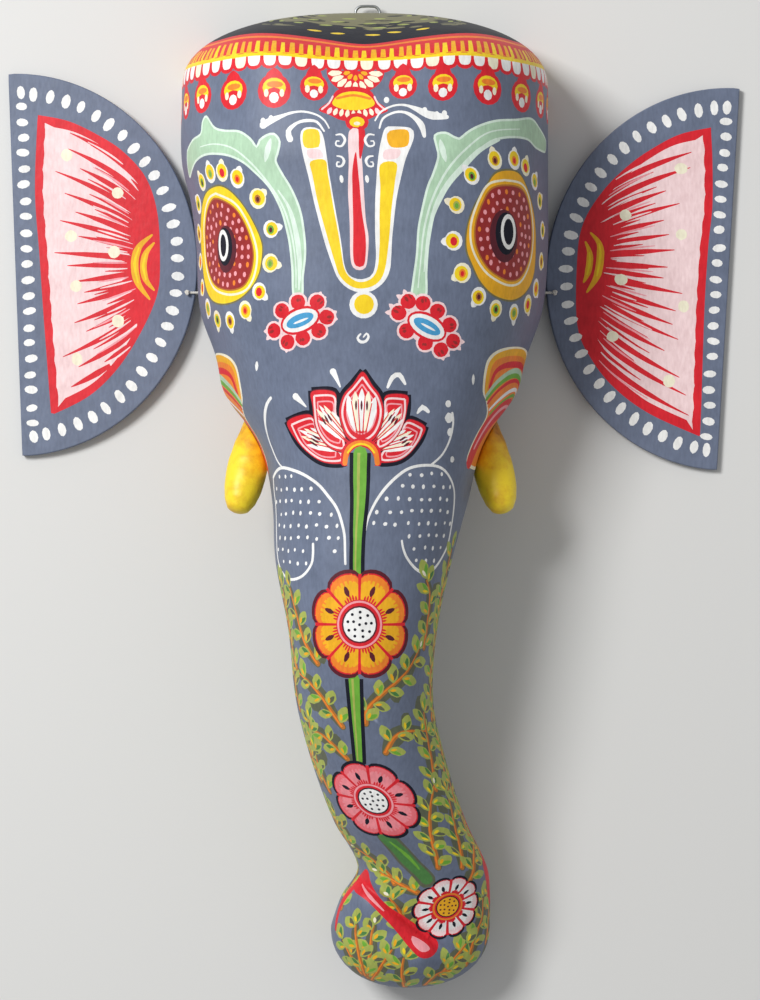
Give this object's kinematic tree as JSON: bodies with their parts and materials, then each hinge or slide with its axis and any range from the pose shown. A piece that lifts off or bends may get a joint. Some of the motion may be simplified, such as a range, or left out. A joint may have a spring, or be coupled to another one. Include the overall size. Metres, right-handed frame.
{
  "type": "ganesha mask",
  "caption": "Hollow papier-mache elephant head wall mask, painted, with a curled trunk, flat tied ears, yellow tusks and a wire hanging loop.",
  "frame": {"origin": "bottom centre of the whole mask as it lies face up, in the plane of its open back", "axes": "+Z out of the face, +Y up the face toward the crown, +X toward the viewer's right"},
  "size_m": [0.3078, 0.4102, 0.0983],
  "materials": {
    "painted_papier_mache": "layered paper, slate ground with bright folk painting, thinly varnished",
    "painted_board": "thick board, slate ground with a pink and red fan, thinly varnished",
    "painted_rolled_paper": "rolled paper, yellow paint, thinly varnished",
    "steel_wire": "thin galvanised wire, dull",
    "cotton_thread": "white twisted cotton"
  },
  "bodies": {
    "root": {"head": "painted_papier_mache", "ear_left": "painted_board", "ear_right": "painted_board", "tusk_left": "painted_rolled_paper", "tusk_right": "painted_rolled_paper", "hanging_loop": "steel_wire", "tie_left": "cotton_thread", "tie_right": "cotton_thread"}
  },
  "joints": []
}
